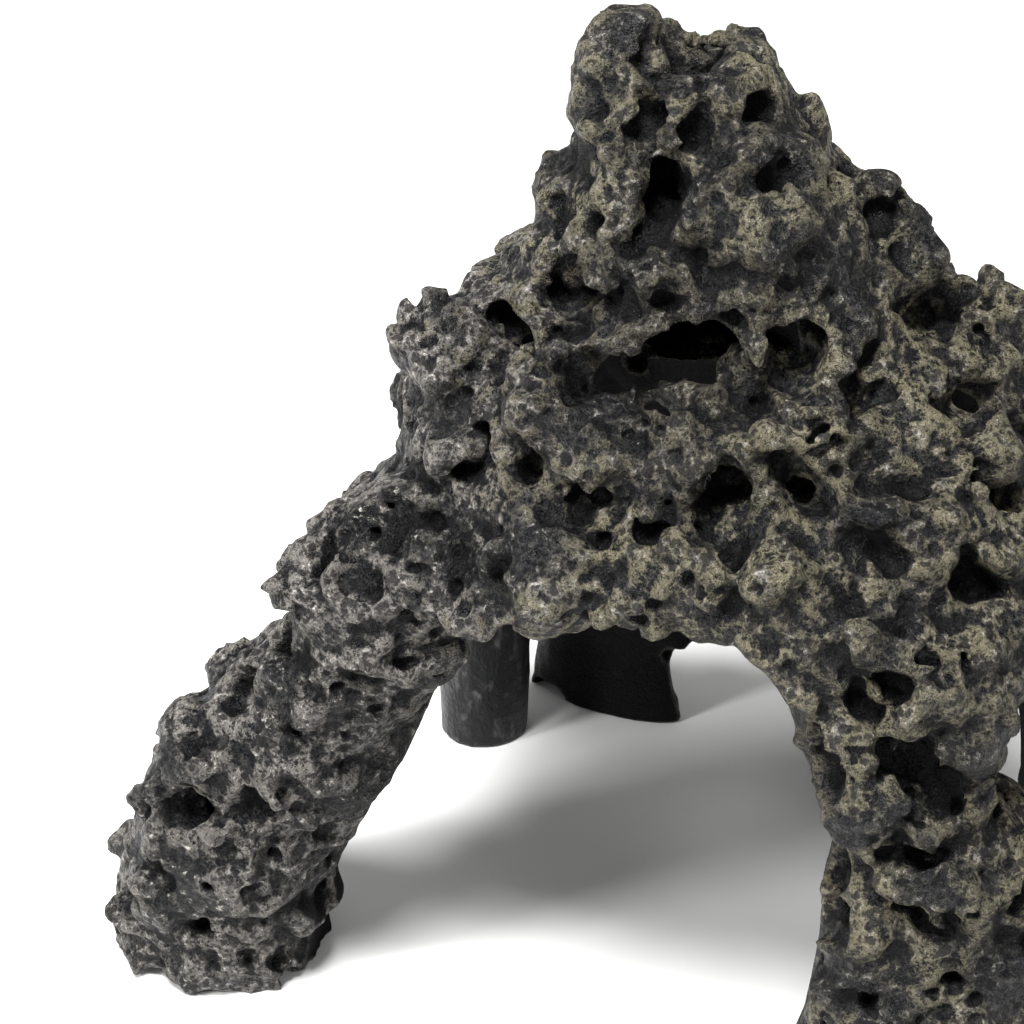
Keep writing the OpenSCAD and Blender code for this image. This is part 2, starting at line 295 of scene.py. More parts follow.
# %% Noise
def noise(place, wave, seed):
    table = np.random.default_rng(seed).uniform(-1, 1, (32, 32, 32)).astype(np.float32)
    spot = place / np.float32(wave)
    whole = np.floor(spot)
    t = spot - whole
    t = t * t * (3 - 2 * t)
    whole = whole.astype(np.int32)
    low = whole & 31
    high = (whole + 1) & 31
    result = 0
    for corner in range(8):
        pick = [(corner >> axis) & 1 for axis in range(3)]
        where = [high[:, a] if pick[a] else low[:, a] for a in range(3)]
        share = 1
        for a in range(3):
            share = share * (t[:, a] if pick[a] else 1 - t[:, a])
        result = result + table[where[0], where[1], where[2]] * share
    return result


def folded(place, wave, seed):
    return 1 - 3 * np.abs(noise(place, wave, seed))


def bent(place):
    push = np.stack([noise(place, 9 * mm, seed) for seed in (11, 12, 13)], 1) * 2.6 * mm
    push += np.stack([noise(place, 3.5 * mm, seed) for seed in (14, 15, 16)], 1) * 0.8 * mm
    return place + push.astype(np.float32)


print("the net of ridges is bent by up to 3.4 mm")

# %% [markdown]
# ## Two shapes for every lump and hole
# The lumps that give this rock its face are placed one by one, in millimetres. Each is a round or
# long ball. A knob is melted on with a soft blend, and a pit is dug with a crisper one, because
# the holes of lava have sharp rims.


# %% Shapes
def window_around(centre, size):
    low = np.floor((centre - size) / cell).astype(int) - start
    high = np.ceil((centre + size) / cell).astype(int) - start + 1
    low = np.clip(low, 0, count)
    high = np.clip(high, 0, count)
    return tuple(slice(int(a), int(b)) for a, b in zip(low, high))


def ball(part, centre, radii, turn=0.0):
    axes = [(np.arange(s.start, s.stop) + o) * cell for s, o in zip(part, start)]
    x = (axes[0] - centre[0])[:, None, None]
    y = (axes[1] - centre[1])[None, :, None]
    z = (axes[2] - centre[2])[None, None, :]
    # Waves push the ball out of round by about a quarter of its size. They start elsewhere for
    # each ball, so no two are alike
    bend = 0.28 * min(radii)
    wave = 1.4 / min(radii)
    phase = centre * 900
    x = x + bend * np.sin(wave * (y + 0.7 * z) + phase[0])
    y = y + bend * np.sin(wave * (z - 0.6 * x) + phase[1])
    z = z + bend * np.sin(wave * (x + 0.8 * y) + phase[2])
    c = np.cos(turn)
    s = np.sin(turn)
    along = (c * x + s * y) / radii[0]
    across = (-s * x + c * y) / radii[1]
    far = np.sqrt(along**2 + across**2 + (z / radii[2]) ** 2)
    return ((far - 1) * min(radii)).astype(np.float32)


def blended_min(a, b, soft):
    h = np.clip(soft - np.abs(a - b), 0, None) / soft
    return np.minimum(a, b) - h * h * soft * 0.25


def cell_of(centre):
    return tuple(np.clip(np.round(centre / cell).astype(int) - start, 3, count - 4))


def seated(centre, depth):
    # Moves a middle along the slope of the field until it lies that deep in the rock
    spot = cell_of(centre)
    slope = facing(rock, np.array([spot]))[0]
    move = rock[spot] + depth
    return centre - slope * np.clip(move, -8 * mm, 8 * mm)


def add_ball(centre, radii, turn=0.0, soft=3.0, depth=None):
    centre = np.array(centre) * mm
    radii = np.array(radii) * mm
    if depth is not None:
        centre = seated(centre, depth * radii.min())
    part = window_around(centre, radii.max() * 1.3 + soft * mm)
    rock[part] = blended_min(rock[part], ball(part, centre, radii, radians(turn)), soft * mm)


def dig_ball(centre, radii, turn=0.0, soft=1.2, depth=None):
    centre = np.array(centre) * mm
    radii = np.array(radii) * mm
    if depth is not None and rock[cell_of(centre)] > -2 * mm:
        centre = seated(centre, depth * radii.min())
    part = window_around(centre, radii.max() * 1.3 + soft * mm)
    dug = ball(part, centre, radii, radians(turn))
    rock[part] = -blended_min(-rock[part], dug, soft * mm)


print("shapes: add_ball, dig_ball")

# %% [markdown]
# ## Knobs of the summit
# A heap of small lumps lies under the bright knob over the cave mouth. The crater has two horns,
# and a thin ridge climbs from the left window to the upper one.


# %% Knobs of the summit
def add_knobs(knobs):
    for centre, radii, turn in knobs:
        add_ball(centre, radii, turn, 6, 0.4)
    print("knobs and ridges:", len(knobs))


summit_knobs = [
    # Lumps round the bright knob over the cave mouth
    ((12, -52, 270), (9, 8, 8), 0),
    ((20, -51, 267), (8, 8, 9), 0),
    ((15, -54, 263), (7, 6, 6), 0),
    ((24, -48, 259), (6, 7, 9), 0),
    # Horns of the crater
    ((-15, -20, 294), (8, 7, 6), 20),
    ((18, -16, 291), (7, 7, 5), 0),
    # Brow over the left window, and the ridge that climbs to the upper window
    ((-13, -57, 246), (13, 6, 5), -12),
    ((-22, -48, 250), (7, 6, 6), 0),
    ((-3, -55, 253), (5, 5, 9), 0),
]
add_knobs(summit_knobs)

# %% [markdown]
# ## Knobs of the face
# Under the cave mouth lies a sill of long lumps, then come bars beside the two eye holes, and then
# the thick lip of the front arch.

# %% Knobs of the face
face_knobs = [
    # Sill under the cave mouth
    ((-22, -70, 203), (9, 6, 5), 8),
    ((-6, -76, 206), (10, 6, 5), 0),
    ((10, -80, 210), (10, 6, 6), -8),
    ((26, -82, 212), (9, 6, 6), -10),
    ((40, -78, 214), (8, 7, 7), 0),
    # Bars between the two eyes and beside them
    ((22, -86, 201), (4, 5, 10), 0),
    ((3, -83, 199), (4, 5, 9), 0),
    ((42, -86, 200), (5, 6, 11), 0),
    # Lip of the front arch
    ((-42, -77, 184), (9, 8, 8), 20),
    ((-26, -84, 181), (10, 7, 7), 0),
    ((-9, -88, 180), (9, 7, 8), 0),
    ((8, -91, 183), (10, 7, 7), 0),
    ((26, -94, 182), (10, 8, 9), 0),
    ((-36, -80, 170), (10, 7, 5), 0),
    ((-14, -86, 168), (12, 7, 5), 0),
    # Posts beside the cave mouth
    ((42, -68, 224), (5, 6, 9), 0),
    ((36, -62, 238), (6, 6, 8), 0),
    ((-30, -62, 214), (5, 6, 9), 0),
    ((-33, -56, 228), (5, 6, 8), 0),
]
add_knobs(face_knobs)

# %% [markdown]
# ## Knobs of the flanks and legs
# Bigger and further apart, because they have to break up the skyline and the long flanks. The
# bright knob over the mouth comes last and is melted on less softly, so it stands out most.

# %% Knobs of the flanks and legs
flank_knobs = [
    # Knobs on the skyline
    ((54, -24, 256), (8, 8, 7), 0),
    ((62, -22, 247), (7, 8, 8), 0),
    ((86, -26, 223), (8, 8, 7), 0),
    ((76, -32, 230), (8, 8, 7), 0),
    ((-66, -26, 222), (7, 8, 8), 0),
    ((-60, -34, 214), (7, 7, 8), 0),
    ((-84, -36, 176), (8, 7, 7), 0),
    ((-74, -48, 184), (8, 7, 7), 0),
    ((-106, -36, 150), (9, 8, 8), 0),
    # Shoulder and shin of the front left leg
    ((-138, -36, 88), (10, 8, 9), 0),
    ((-118, -46, 86), (8, 6, 10), 0),
    ((-150, -36, 60), (7, 8, 14), 0),
    ((-122, -52, 60), (5, 6, 10), 0),
    # Right flank and the front centre leg
    ((60, -92, 190), (12, 8, 14), 0),
    ((76, -78, 204), (10, 8, 10), 0),
    ((62, -112, 160), (10, 8, 12), 0),
    ((44, -112, 168), (7, 6, 9), 0),
    ((76, -118, 126), (9, 7, 12), 0),
    ((50, -122, 122), (7, 6, 9), 0),
    ((66, -127, 104), (9, 6, 8), 0),
    ((50, -124, 84), (7, 6, 9), 0),
    ((72, -127, 52), (12, 6, 12), 0),
]
add_knobs(flank_knobs)
add_ball((16, -52, 268), (12, 10, 11), 0, 3)
add_ball((10, -55, 263), (6, 6, 6), 0, 2)

# %% [markdown]
# ## Mouth, window, notch and eyes
# These holes go deep or right through the wall, so they stay where they are placed. A few lumps
# shape them from within: rock on the inner wall behind the eyes, so that no pale floor shows
# through them, a strut that divides the mouth, and a lump on its sill.

# %% Holes
for behind_eye in ((12, -62, 188), (35, -66, 190), (37, -57, 186)):
    add_ball(behind_eye, (10, 9, 10), 0, 4)
add_ball((21, -62, 228), (4, 7, 12), 0, 3)
add_ball((-4, -66, 212), (9, 8, 5), 0, 3)
holes = [
    # Notch in the front rim of the crater
    ((4, -27, 300), (8, 12, 7), 0),
    # Upper window
    ((-4, -50, 267), (6, 16, 10), 0),
    # Dark recess of the cave mouth, with the three holes in it
    ((-4, -76, 234), (23, 15, 15), 0),
    ((2, -68, 243), (16, 12, 7), 0),
    ((2, -64, 227), (15, 16, 10), 0),
    ((-20, -64, 222), (11, 12, 9), 10),
    ((31, -66, 231), (8, 16, 10), 0),
    ((-14, -62, 243), (9, 12, 8), 0),
    # Eyes under the sill
    ((11, -84, 199), (7, 14, 9), 0),
    ((33, -88, 201), (7, 13, 8), 0),
]


def dig_holes():
    for centre, radii, turn in holes:
        dig_ball(centre, radii, turn, 1.5)
    print("holes:", len(holes))


dig_holes()

# %% [markdown]
# ## Pits of the summit and the windows
# The knobs have changed the surface. So a pit whose middle would lie at the surface or in front
# of it is first moved until it is half sunk in the rock.


# %% Pits of the summit
def dig_pits(pits):
    for centre, radii, turn in pits:
        grown = [1.2 * radius for radius in radii]
        dig_ball(centre, grown, turn, 1.5, 0.1)
    print("pits:", len(pits))


summit_pits = [
    # Pockets round the upper window
    ((-10, -40, 283), (6, 6, 6), 0),
    ((7, -60, 257), (7, 6, 5), 0),
    ((-15, -54, 260), (5, 7, 5), 0),
    ((28, -46, 276), (5, 6, 6), 0),
    ((38, -32, 270), (5, 6, 7), 0),
    ((20, -34, 288), (5, 6, 4), 0),
    # Left window and the pockets round it
    ((-31, -42, 240), (9, 14, 8), -30),
    ((-45, -36, 224), (7, 9, 6), 0),
    ((-20, -52, 238), (5, 8, 5), 0),
    ((-40, -44, 250), (4, 6, 5), 0),
]
dig_pits(summit_pits)

# %% [markdown]
# ## Pits of the left side
# The left flank has the biggest pockets, and the foot of its leg has two side by side.

# %% Pits of the left side
left_pits = [
    # Holes in the sill and the left flank
    ((40, -82, 214), (3, 6, 3), 0),
    ((48, -66, 226), (6, 8, 6), 0),
    ((68, -40, 233), (8, 9, 6), 0),
    ((-40, -66, 201), (8, 9, 6), 10),
    ((-56, -54, 198), (8, 9, 7), 0),
    ((-24, -74, 192), (6, 6, 4), 0),
    ((-6, -84, 192), (6, 5, 4), 0),
    ((-81, -56, 171), (11, 9, 8), 0),
    ((-66, -60, 178), (6, 6, 6), 0),
    ((-62, -62, 160), (7, 7, 5), 0),
    ((-95, -46, 158), (6, 7, 6), 0),
    # Face of the front left leg
    ((-138, -46, 70), (8, 7, 7), 0),
    ((-115, -54, 74), (8, 7, 7), 0),
    ((-127, -53, 57), (6, 4, 4), 0),
    ((-147, -40, 44), (4, 5, 5), 0),
    ((-125, -48, 108), (6, 5, 5), 0),
    ((-112, -40, 128), (6, 5, 6), 0),
]
dig_pits(left_pits)

# %% [markdown]
# ## Pits of the right side
# The right flank has wide pockets, and smaller ones follow down the front centre leg.

# %% Pits of the right side
right_pits = [
    ((56, -119, 141), (4, 8, 9), 14),
    ((47, -113, 156), (4, 7, 5), 0),
    ((60, -118, 111), (9, 5, 4), 0),
    ((69, -126, 92), (5, 5, 5), 0),
    ((75, -127, 73), (3, 8, 3), 0),
    ((50, -122, 66), (6, 6, 5), 0),
    ((58, -88, 206), (8, 7, 5), 0),
    ((76, -92, 182), (7, 8, 8), 0),
    ((84, -70, 196), (7, 8, 8), 0),
    ((98, -52, 196), (7, 7, 7), 0),
    ((100, -66, 170), (6, 7, 9), 0),
]
dig_pits(right_pits)

# %% [markdown]
# ## Lumps and pits by the thousand
# Between the placed ones the rock is covered with smaller lumps and gas holes. Their places are
# drawn from the outer surface cells with a fixed seed, so that the rock is the same on every run.
# Few are big and many are small, as in real lava.

# %% Scatter
dice = np.random.default_rng(7)


def outer_places(number):
    surface = np.flatnonzero((np.abs(rock.ravel()[near]) < 0.7 * cell) & (outside > 0.5))
    chosen = dice.choice(surface, number, replace=False)
    return place[chosen], facing(rock, index[chosen])


def scatter(shape, number, small, big, sink, soft):
    places, normals = outer_places(number)
    size = small + (big - small) * dice.random(number) ** 2.2
    stretch = dice.uniform(0.75, 1.3, (number, 3))
    turn = dice.uniform(0, 180, number)
    for k in range(number):
        centre = places[k] / mm - normals[k] * size[k] * sink
        shape(centre, size[k] * stretch[k], turn[k], soft)


near, index, place = cells_near(rock)
outside = outwardness(place, facing(rock, index))
lump_count = 750
gas_hole_count = 380
scatter(add_ball, lump_count, 3.0, 9.5, 0.45, 3.0)
scatter(dig_ball, gas_hole_count, 2.8, 7.5, 0.1, 1.8)
print("scattered:", lump_count, "lumps and", gas_hole_count, "gas holes")

# %% [markdown]
# ## Holes opened again
# The scattered lumps have narrowed the mouth and the eyes, so the same holes are dug once more.

# %% Open the holes again
dig_holes()

# %% [markdown]
# ## Ridges and crumbs
# Folded noise in several sizes covers the outside: two nets of ridges, a heap of round lumps, and
# crumbs. The inner side and the fin at the back came out of a plain part of the mould, so they
# hardly swell or sink.

# %% Folded noise over the crust
near, index, place = cells_near(rock)
outside = outwardness(place, facing(rock, index))
fin = field_of(*mesh_arrays(nodes["rear_fin_leg"])).ravel()[near]
outside *= 1 - 0.9 * smooth_step(5 * mm, 2 * mm, fin) * smooth_step(160 * mm, 145 * mm, place[:, 2])
curled = bent(place)
ridges = 0.6 * folded(curled, 15 * mm, 21) + 0.5 * folded(curled, 7.5 * mm, 22)
ridges -= 0.55 * folded(curled, 10 * mm, 23)
crumbs = 0.45 * folded(curled, 4.2 * mm, 24) + 0.5 * noise(place, 2.6 * mm, 25)
plain = 0.25 * noise(place, 30 * mm, 26) + 0.15 * noise(place, 9 * mm, 27)
relief = outside * (ridges + crumbs) + (1 - outside) * plain
rock.ravel()[near] -= (relief * mm).astype(np.float32)
print("relief:", round(float(relief.min()), 1), "to", round(float(relief.max()), 1), "mm")

# %% [markdown]
# ## Small gas holes
# They come after the noise, so that they stay round and crisp.

# %% Small gas holes
small_hole_count = 2200
scatter(dig_ball, small_hole_count, 1.0, 2.6, 0.0, 0.8)
print("scattered:", small_hole_count, "small gas holes")

# %% [markdown]
# ## Rock round the joints
# A cup of epoxy or a rod must never show in a pit. So wherever one sits, the rock is filled again
# to a few millimetres round it, and then a light averaging takes off the thinnest spikes. The
# places of the joints and the seams come from the frame.


# %% Fill round the joints
def middle_of(name):
    low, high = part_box(name)
    return [round((a + b) / 2 / mm, 2) for a, b in zip(low, high)]


crust_of = {leg: leg + "_crust" for leg in rock_legs}
crust_of[column] = "rear_left_column"
spigots = {crust: middle_of(leg + "_bond")[:2] for leg, crust in crust_of.items()}
leg_seam, summit_seam = [round(corner[2] / mm, 2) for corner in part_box("front_vault_casting")]
half_seam = middle_of("vault_pin_upper_left")[1]
upright_pins = [middle_of("summit_pin_" + side)[:2] for side in ("left", "right", "rear")]
cross_pins = []
for corner in ("lower_left", "lower_right", "upper_left", "upper_right"):
    x, _, z = middle_of("vault_pin_" + corner)
    cross_pins.append((x, z))
for x, y in spigots.values():
    add_ball((x, y, 155), (14, 14, 14), 0, 2)
for x, y in upright_pins:
    add_ball((x, y, summit_seam), (7, 7, 14), 0, 2)
for x, z in cross_pins:
    add_ball((x, half_seam, z), (7, 14, 7), 0, 2)
eased = rock[1:-1, 1:-1, 1:-1].copy()
eased += rock[2:, 1:-1, 1:-1] + rock[:-2, 1:-1, 1:-1] + rock[1:-1, 2:, 1:-1]
eased += rock[1:-1, :-2, 1:-1] + rock[1:-1, 1:-1, 2:] + rock[1:-1, 1:-1, :-2]
rock[1:-1, 1:-1, 1:-1] = 0.35 * rock[1:-1, 1:-1, 1:-1] + 0.65 * eased / 7
print("joints:", len(spigots), "spigots and", len(upright_pins) + len(cross_pins), "pins")

# %% [markdown]
# ## Keeping to the frame
# The rock stops at the ground, it stays 0.6 mm clear of the plain rear column, and the block is
# held within a few millimetres of the frame, so that no lump grows past its size.

# %% Trim
axes = [(np.arange(count[a]) + start[a]) * cell for a in range(3)]
ground = -axes[2][None, None, :].astype(np.float32)
under_seam = (axes[2] < 151 * mm)[None, None, :]
clearance = 0.6 * mm
apart = np.where(under_seam, clearance - column_field, -reach * cell)
rock = np.maximum(np.maximum(rock, ground), apart.astype(np.float32))
room = 3 * mm
low_corner, high_corner = cad_box
for a in range(3):
    shape = [1, 1, 1]
    shape[a] = -1
    line = axes[a].reshape(shape)
    over = np.maximum(low_corner[a] - room - line, line - high_corner[a] - room)
    rock = np.maximum(rock, over.astype(np.float32))
points, triangles, quads = surface_of(rock)
whole = len(points)
points, quads = without_crumbs(points, quads)
print("carved rock:", len(points), "points, crumbs swept away:", whole - len(points), "points")

# %% [markdown]
# ## Cutting the block into its castings
# The block is now one skin, so it is sawn along the same seams as the frame: level at 150 mm and
# at 244 mm, and upright a little in front of the middle. The saw cuts are at most a tenth of a
# millimetre, so a seam is a hairline. A boolean with the manifold solver does that in a
# second on a skin this dense. The sockets and the pin holes are drilled the same way.


# %% Saw and drill tools
def object_from(name, points, faces):
    data = bpy.data.meshes.new(name)
    data.vertices.add(len(points))
    data.vertices.foreach_set("co", np.asarray(points, np.float32).ravel())
    data.loops.add(faces.size)
    data.loops.foreach_set("vertex_index", faces.astype(np.int32).ravel())
    data.polygons.add(len(faces))
    sides = faces.shape[1]
    data.polygons.foreach_set("loop_start", np.arange(0, faces.size, sides, dtype=np.int32))
    data.update(calc_edges=True)
    thing = bpy.data.objects.new(name, data)
    scene.collection.objects.link(thing)
    return thing


def box_object(low, high):
    corners = [(x, y, z) for x in (0, 1) for y in (0, 1) for z in (0, 1)]
    points = [[(low, high)[c[a]][a] * mm for a in range(3)] for c in corners]
    faces = [(0, 1, 3, 2), (4, 6, 7, 5), (0, 4, 5, 1), (2, 3, 7, 6), (0, 2, 6, 4), (1, 5, 7, 3)]
    return make_mesh("box", points, faces)


def rod_object(centre, radius, half, axis, sides=48):
    ring = [(np.cos(2 * pi * k / sides), np.sin(2 * pi * k / sides)) for k in range(sides)]
    points = []
    for end in (-half, half):
        for c, s in ring:
            arm = (radius * c, radius * s, end) if axis == "z" else (radius * c, end, radius * s)
            points.append([(centre[a] + arm[a]) * mm for a in range(3)])
    faces = [tuple(range(sides)), tuple(range(2 * sides - 1, sides - 1, -1))]
    faces += [(k, k + sides, (k + 1) % sides + sides, (k + 1) % sides) for k in range(sides)]
    if axis == "z":
        faces = [face[::-1] for face in faces]
    return make_mesh("rod", points, faces)


def apply_modifiers(thing):
    graph = bpy.context.evaluated_depsgraph_get()
    result = bpy.data.meshes.new_from_object(thing.evaluated_get(graph))
    thing.modifiers.clear()
    old = thing.data
    thing.data = result
    bpy.data.meshes.remove(old)


def boolean(thing, tool, operation):
    cut = thing.modifiers.new("cut", "BOOLEAN")
    cut.object = tool
    cut.operation = operation
    cut.solver = "MANIFOLD"
    apply_modifiers(thing)
    bpy.data.objects.remove(tool)


def sawn(block, name, low, high):
    piece = bpy.data.objects.new(name, block.data.copy())
    scene.collection.objects.link(piece)
    boolean(piece, box_object(low, high), "INTERSECT")
    return piece


print("tools: box_object, rod_object, boolean, sawn")

# %% [markdown]
# ## Summit and vault halves
# Three saw boxes cut the upper rock: everything over the upper seam is the summit, and the vault
# under it is split into a front and a rear half.

# %% Saw the castings
hair = 0.05
block = object_from("block", points, quads)
saw_boxes = {
    "summit_crust": ((-200, -200, summit_seam + hair), (200, 200, 400)),
    "front_vault_crust": ((-200, -200, leg_seam), (200, half_seam - hair, summit_seam)),
    "rear_vault_crust": ((-200, half_seam + hair, leg_seam), (200, 200, summit_seam)),
}
pieces = {name: sawn(block, name, low, high) for name, (low, high) in saw_boxes.items()}
bpy.data.objects.remove(block)
for name, piece in pieces.items():
    print(name, len(piece.data.vertices), "points")

# %% [markdown]
# ## Legs
# Lumps on two legs may touch, so the saw can't part them. A cell under the level seam belongs to
# the leg of the frame that it is nearest to instead, which leaves an even cut between them.

# %% Part the legs
leg_fields = {leg: melted([leg]) for leg in rock_legs}
above = (axes[2] - 153 * mm)[None, None, :].astype(np.float32)
for leg in rock_legs:
    others = np.minimum.reduce([leg_fields[other] for other in rock_legs if other != leg])
    own = np.maximum(np.maximum(rock, leg_fields[leg] - others), above)
    leg_points, _, leg_quads = surface_of(own)
    leg_points, leg_quads = without_crumbs(leg_points, leg_quads)
    block = object_from("block", leg_points, leg_quads)
    name = crust_of[leg]
    pieces[name] = sawn(block, name, (-200, -200, -5), (200, 200, leg_seam - hair))
    bpy.data.objects.remove(block)
    print(name, len(pieces[name].data.vertices), "points")

# %% [markdown]
# ## The plain rear column
# Only this leg has no crust: it is a smooth plug of the same resin, as if poured into a tube. Low
# noise, drawn out upwards, gives it the faint flow marks of a pour.

# %% The plain rear column
spots, _, spot_place = cells_near(column_field)
flow = spot_place * np.array([1, 1, 0.7], np.float32)
marks = 0.45 * noise(flow, 11 * mm, 31) + 0.2 * noise(flow, 4 * mm, 32)
column_field.ravel()[spots] += (marks * mm).astype(np.float32)
column_field = np.maximum(column_field, ground)
column_points, _, column_quads = surface_of(column_field)
column_points, column_quads = without_crumbs(column_points, column_quads)
block = object_from("block", column_points, column_quads)
name = crust_of[column]
pieces[name] = sawn(block, name, (-200, -200, -5), (200, 200, leg_seam - hair))
bpy.data.objects.remove(block)
print(name, len(pieces[name].data.vertices), "points")

# %% [markdown]
# ## Spigots, sockets and pin holes
# The saw took the legs' spigots off, so they are set on again, and each vault half gets the
# sockets that hold them with their cups of epoxy. The rods get holes a little wider than they are.

# %% Spigots, sockets and pin holes
spigot_radius = 8
spigot_middle = 155.4
spigot_half = 7.4
socket_radius = 9.3
socket_middle = 156.66
socket_half = 7.66
hole_radius = 3.15
hole_half = 9.5
for name, (x, y) in spigots.items():
    spigot = rod_object((x, y, spigot_middle), spigot_radius, spigot_half, "z")
    boolean(pieces[name], spigot, "UNION")
    vault = "front_vault_crust" if y < half_seam else "rear_vault_crust"
    socket = rod_object((x, y, socket_middle), socket_radius, socket_half, "z")
    boolean(pieces[vault], socket, "DIFFERENCE")
for x, z in cross_pins:
    for vault in ("front_vault_crust", "rear_vault_crust"):
        hole = rod_object((x, half_seam, z), hole_radius, hole_half, "y", 32)
        boolean(pieces[vault], hole, "DIFFERENCE")
for x, y in upright_pins:
    vault = "front_vault_crust" if y < half_seam else "rear_vault_crust"
    for name in (vault, "summit_crust"):
        hole = rod_object((x, y, summit_seam), hole_radius, hole_half, "z", 32)
        boolean(pieces[name], hole, "DIFFERENCE")
for name, piece in pieces.items():
    print(name, len(piece.data.vertices), "points after drilling")

# %% [markdown]
# ## Fewer triangles where the rock is plain
# Even cells waste points on the smooth inner walls. Collapsing edges takes the flattest ones
# first, so the crust keeps its crumbs, and a piece over 195,000 triangles is brought down to that many.
# Collapsing edges takes the flattest ones first, so the crust keeps its crumbs and each piece stays
# light enough to share.

# %% Lighten
most = 195000
for name, piece in pieces.items():
    piece.data.calc_loop_triangles()
    triangle_count = len(piece.data.loop_triangles)
    if triangle_count > most:
        lighter = piece.modifiers.new("lighter", "DECIMATE")
        lighter.ratio = most / triangle_count
        apply_modifiers(piece)
    print(name, triangle_count, "triangles, kept", min(most, triangle_count))

# %% [markdown]
# ## Where paint and painted shade gather
# The wash runs into hollows and the dry brush only touches what stands out, and the hollows are
# also darkened as painted shade. All of it follows from how much rock there is around a point:
# half on a flat face, more in a hollow and less on a knob. It is measured in three sizes: deep for
# holes, wide for pits and fine for the grain.

# %% Crowding
solid = np.clip(0.5 - np.minimum(rock, column_field) / (2 * cell), 0, 1)
half = (count // 2).astype(int)
solid = solid.reshape(half[0], 2, half[1], 2, half[2], 2).mean((1, 3, 5))


def blurred(block, radius):
    for axis in range(3):
        for _ in range(2):
            ends = [(0, 0)] * 3
            ends[axis] = (radius + 1, radius)
            total = np.cumsum(np.pad(block, ends, mode="edge"), axis=axis, dtype=np.float64)
            upper = [slice(None)] * 3
            lower = [slice(None)] * 3
            upper[axis] = slice(2 * radius + 1, None)
            lower[axis] = slice(0, -2 * radius - 1)
            block = (total[tuple(upper)] - total[tuple(lower)]) / (2 * radius + 1)
    return block.astype(np.float32)


crowding = {
    # The deep size darkens holes as painted shade
    "crowding_for_deep_shade": blurred(solid, 5),
    "crowding_wide": blurred(solid, 3),
    "crowding_fine": blurred(solid, 1),
}
print("crowding blocks:", list(crowding))

# %% [markdown]
# ## Crowding on the points
# Each point of a piece reads the blocks at its own place, and keeps what it reads as an attribute
# that the paint can use. It also keeps how far it faces outwards.


# %% Store the crowding
def sampled(block, places):
    spot = (places / cell - start - 0.5) / 2
    whole = np.clip(np.floor(spot).astype(int), 0, half - 2)
    t = np.clip(spot - whole, 0, 1)
    result = 0
    for corner in range(8):
        pick = [(corner >> axis) & 1 for axis in range(3)]
        share = 1
        for a in range(3):
            share = share * (t[:, a] if pick[a] else 1 - t[:, a])
        result = result + share * block[tuple(whole[:, a] + pick[a] for a in range(3))]
    return result


for name, piece in pieces.items():
    total = len(piece.data.vertices)
    places = np.empty(total * 3, np.float32)
    piece.data.vertices.foreach_get("co", places)
    places = places.reshape(-1, 3)
    for key, block in crowding.items():
        layer = piece.data.attributes.new(key, "FLOAT", "POINT")
        layer.data.foreach_set("value", sampled(block, places).astype(np.float32))
    normals = np.empty(total * 3, np.float32)
    piece.data.vertex_normals.foreach_get("vector", normals)
    turned = outwardness(places, normals.reshape(-1, 3))
    layer = piece.data.attributes.new("outside", "FLOAT", "POINT")
    layer.data.foreach_set("value", turned.astype(np.float32))
    piece.data.polygons.foreach_set("use_smooth", np.ones(len(piece.data.polygons), bool))
    print(name, "crowding measured at", total, "points")

# %% [markdown]
# ## Paint
# Every rock surface gets the same four layers as the real ornament: grey resin, a blue-black wash
# in the hollows, khaki brushed over what stands out, and pale specks on the left side, where the
# brush was loaded with more white. The blue-black is also painted shade: in the hollows, in the
# recess of the cave mouth and over the inner side. A thin satin varnish lies over all of the outside.


# %% Node helpers
class Recipe:
    def __init__(self, name):
        self.material = bpy.data.materials.new(name)
        self.material.use_nodes = True
        self.tree = self.material.node_tree
        self.shader = self.tree.nodes["Principled BSDF"]
        coordinates = self.tree.nodes.new("ShaderNodeTexCoord")
        self.place = coordinates.outputs["Object"]

    def feed(self, socket, value):
        if isinstance(value, bpy.types.NodeSocket):
            self.tree.links.new(value, socket)
        else:
            socket.default_value = value

    def maths(self, kind, a, b=0.0, c=0.0):
        node = self.tree.nodes.new("ShaderNodeMath")
        node.operation = kind
        for socket, value in zip(node.inputs, (a, b, c)):
            self.feed(socket, value)
        return node.outputs[0]

    def step(self, value, low, high):
        node = self.tree.nodes.new("ShaderNodeMapRange")
        node.interpolation_type = "SMOOTHSTEP"
        self.feed(node.inputs["Value"], value)
        node.inputs["From Min"].default_value = low
        node.inputs["From Max"].default_value = high
        return node.outputs[0]

    def mix(self, share, a, b):
        node = self.tree.nodes.new("ShaderNodeMix")
        node.data_type = "RGBA"
        self.feed(node.inputs["Factor"], share)
        self.feed(node.inputs["A"], a)
        self.feed(node.inputs["B"], b)
        return node.outputs["Result"]

    def clouds(self, wave, detail=3.0, rough=0.55):
        node = self.tree.nodes.new("ShaderNodeTexNoise")
        self.feed(node.inputs["Vector"], self.place)
        node.inputs["Scale"].default_value = 1 / wave
        node.inputs["Detail"].default_value = detail
        node.inputs["Roughness"].default_value = rough
        return node.outputs["Fac"]

    def cells(self, wave):
        node = self.tree.nodes.new("ShaderNodeTexVoronoi")
        self.feed(node.inputs["Vector"], self.place)
        node.inputs["Scale"].default_value = 1 / wave
        return node.outputs["Distance"]

    def stored(self, key):
        node = self.tree.nodes.new("ShaderNodeAttribute")
        node.attribute_name = key
        return node.outputs["Fac"]

    def height(self, value, depth, onto=None):
        node = self.tree.nodes.new("ShaderNodeBump")
        self.feed(node.inputs["Height"], value)
        node.inputs["Distance"].default_value = depth
        if onto is not None:
            self.feed(node.inputs["Normal"], onto)
        return node.outputs["Normal"]


print("recipes can now be written in a line per layer")

# %% [markdown]
# ## Patterns and colours of the rock
# Noise in four sizes stands for how uneven the hand painting is, from patches of 26 mm down to
# dust. The colours are dark, because the resin and the wash are nearly black.

